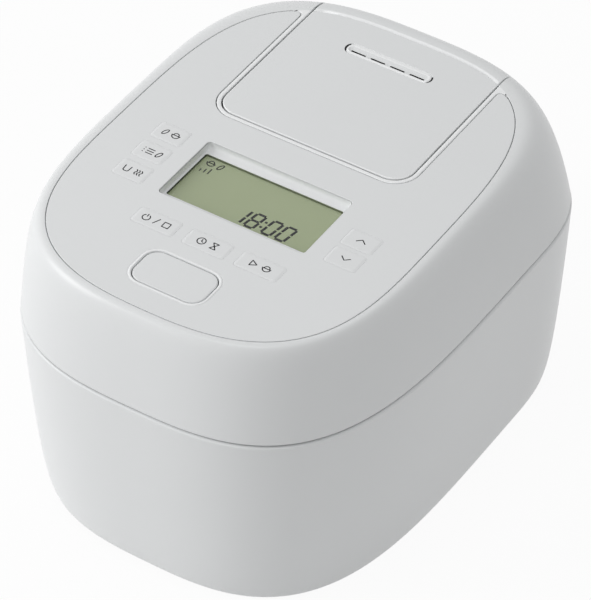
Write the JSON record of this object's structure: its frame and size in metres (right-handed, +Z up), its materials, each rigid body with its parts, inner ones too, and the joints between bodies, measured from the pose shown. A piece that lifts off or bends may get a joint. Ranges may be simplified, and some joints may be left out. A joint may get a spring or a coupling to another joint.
{
  "type": "rice cooker",
  "caption": "Countertop rice cooker with a hinged lid, recessed display, soft keys, lid release button, lift-off steam cap and removable inner pot.",
  "frame": {"origin": "on the table, under the middle of the cooker's outline", "axes": "+X to the cooker's right, +Y to its back, +Z up"},
  "size_m": [0.24, 0.3096, 0.1883],
  "materials": {
    "body_white": "satin moulded, even white",
    "panel_white": "fine satin",
    "key_white": "fine satin",
    "bezel_grey": "satin",
    "display_clear": "clear, polished",
    "display_green": "liquid crystal panel, green grey",
    "frame_grey": "fine satin",
    "well_black": "matte",
    "seal_grey": "soft silicone",
    "foot_rubber": "matte",
    "pot_metal": "dark coated",
    "lid_metal": "brushed",
    "steel": "plain",
    "coil_copper": "enamelled wire",
    "ferrite": "matte",
    "board_green": "circuit board",
    "part_black": "moulded",
    "sink_metal": "extruded",
    "pin_brass": "plated"
  },
  "bodies": {
    "housing": {"body_shell": "body_white", "base_plate": "frame_grey", "rubber_feet": "foot_rubber", "case_screws": "steel", "rim_frame": "frame_grey", "latch_catch": "steel", "pot_well": "well_black", "coil_tray": "frame_grey", "work_coil": "coil_copper", "ferrite_bars": "ferrite", "sensor_spring": "steel", "power_board": "board_green", "heat_sink": "sink_metal", "filter_capacitors": "part_black", "fan_frame": "part_black", "power_inlet": "part_black", "inlet_pins": "pin_brass", "hinge_bracket": "steel", "hinge_pin": "steel", "hinge_spring": "steel"},
    "lid": {"lid_shell": "body_white", "control_panel": "panel_white", "display_bezel": "bezel_grey", "display_window": "display_clear", "display_glass": "display_green", "display_backlight": "frame_grey", "control_board": "board_green", "board_screws": "steel", "key_switches": "part_black", "button_guide": "frame_grey", "button_spring": "steel", "lid_frame": "frame_grey", "latch_pin": "steel", "inner_lid": "lid_metal", "inner_lid_gasket": "seal_grey", "steam_pipe": "seal_grey", "lid_sensor": "sink_metal", "lid_screws": "steel"},
    "button": {"lid_button": "key_white"},
    "latch": {"latch_lever": "frame_grey"},
    "steam_cap": {"steam_cap_cover": "body_white", "steam_cap_base": "frame_grey", "steam_cap_gasket": "seal_grey"},
    "fan": {"fan_impeller": "part_black"},
    "sensor": {"pot_sensor": "sink_metal"},
    "pot": {"inner_pot": "pot_metal"},
    "key_cancel_cap": {"key_cancel": "key_white"},
    "key_timer_cap": {"key_timer": "key_white"},
    "key_cook_cap": {"key_cook": "key_white"},
    "key_up_cap": {"key_up": "key_white"},
    "key_down_cap": {"key_down": "key_white"},
    "key_rice_cap": {"key_rice": "key_white"},
    "key_menu_cap": {"key_menu": "key_white"},
    "key_warm_cap": {"key_warm": "key_white"}
  },
  "joints": [
    {"name": "lid_open", "type": "hinge", "parent": "housing", "child": "lid", "pos_m": [0, 0.1428, 0.136], "axis": [-1, 0, 0], "range_deg": [0, 80]},
    {"name": "button_press", "type": "slide", "parent": "lid", "child": "button", "axis": [0, 0, -1], "range_m": [0, 0.0035], "stiffness_N_per_m": 900, "deforming": ["button_spring"]},
    {"name": "latch_turn", "type": "hinge", "parent": "lid", "child": "latch", "pos_m": [0, -0.128, 0.1507], "axis": [-1, 0, 0], "range_deg": [0, 15.1]},
    {"name": "cap_lift", "type": "slide", "parent": "lid", "child": "steam_cap", "axis": [0, 0, 1], "range_m": [0, 0.07]},
    {"name": "fan_spin", "type": "hinge", "parent": "housing", "child": "fan", "pos_m": [0, -0.098, 0.0105], "axis": [0, 0, 1], "continuous": true},
    {"name": "sensor_press", "type": "slide", "parent": "housing", "child": "sensor", "axis": [0, 0, -1], "range_m": [0, 0.003], "stiffness_N_per_m": 400, "deforming": ["sensor_spring"]},
    {"name": "pot_turn", "type": "hinge", "parent": "housing", "child": "pot", "pos_m": [0, -0.004, 0.08], "axis": [0, 0, 1], "continuous": true},
    {"name": "key_cancel_press", "type": "slide", "parent": "lid", "child": "key_cancel_cap", "axis": [0, 0, -1], "range_m": [0, 0.0006], "stiffness_N_per_m": 1200},
    {"name": "key_timer_press", "type": "slide", "parent": "lid", "child": "key_timer_cap", "axis": [0, 0, -1], "range_m": [0, 0.0006], "stiffness_N_per_m": 1200},
    {"name": "key_cook_press", "type": "slide", "parent": "lid", "child": "key_cook_cap", "axis": [0, 0, -1], "range_m": [0, 0.0006], "stiffness_N_per_m": 1200},
    {"name": "key_up_press", "type": "slide", "parent": "lid", "child": "key_up_cap", "axis": [0, 0, -1], "range_m": [0, 0.0006], "stiffness_N_per_m": 1200},
    {"name": "key_down_press", "type": "slide", "parent": "lid", "child": "key_down_cap", "axis": [0, 0, -1], "range_m": [0, 0.0006], "stiffness_N_per_m": 1200},
    {"name": "key_rice_press", "type": "slide", "parent": "lid", "child": "key_rice_cap", "axis": [0, 0, -1], "range_m": [0, 0.0006], "stiffness_N_per_m": 1200},
    {"name": "key_menu_press", "type": "slide", "parent": "lid", "child": "key_menu_cap", "axis": [0, 0, -1], "range_m": [0, 0.0006], "stiffness_N_per_m": 1200},
    {"name": "key_warm_press", "type": "slide", "parent": "lid", "child": "key_warm_cap", "axis": [0, 0, -1], "range_m": [0, 0.0006], "stiffness_N_per_m": 1200}
  ],
  "couplings": [
    {"joint": "latch_turn", "follows": "button_press", "rad_per_m": 74.8}
  ]
}
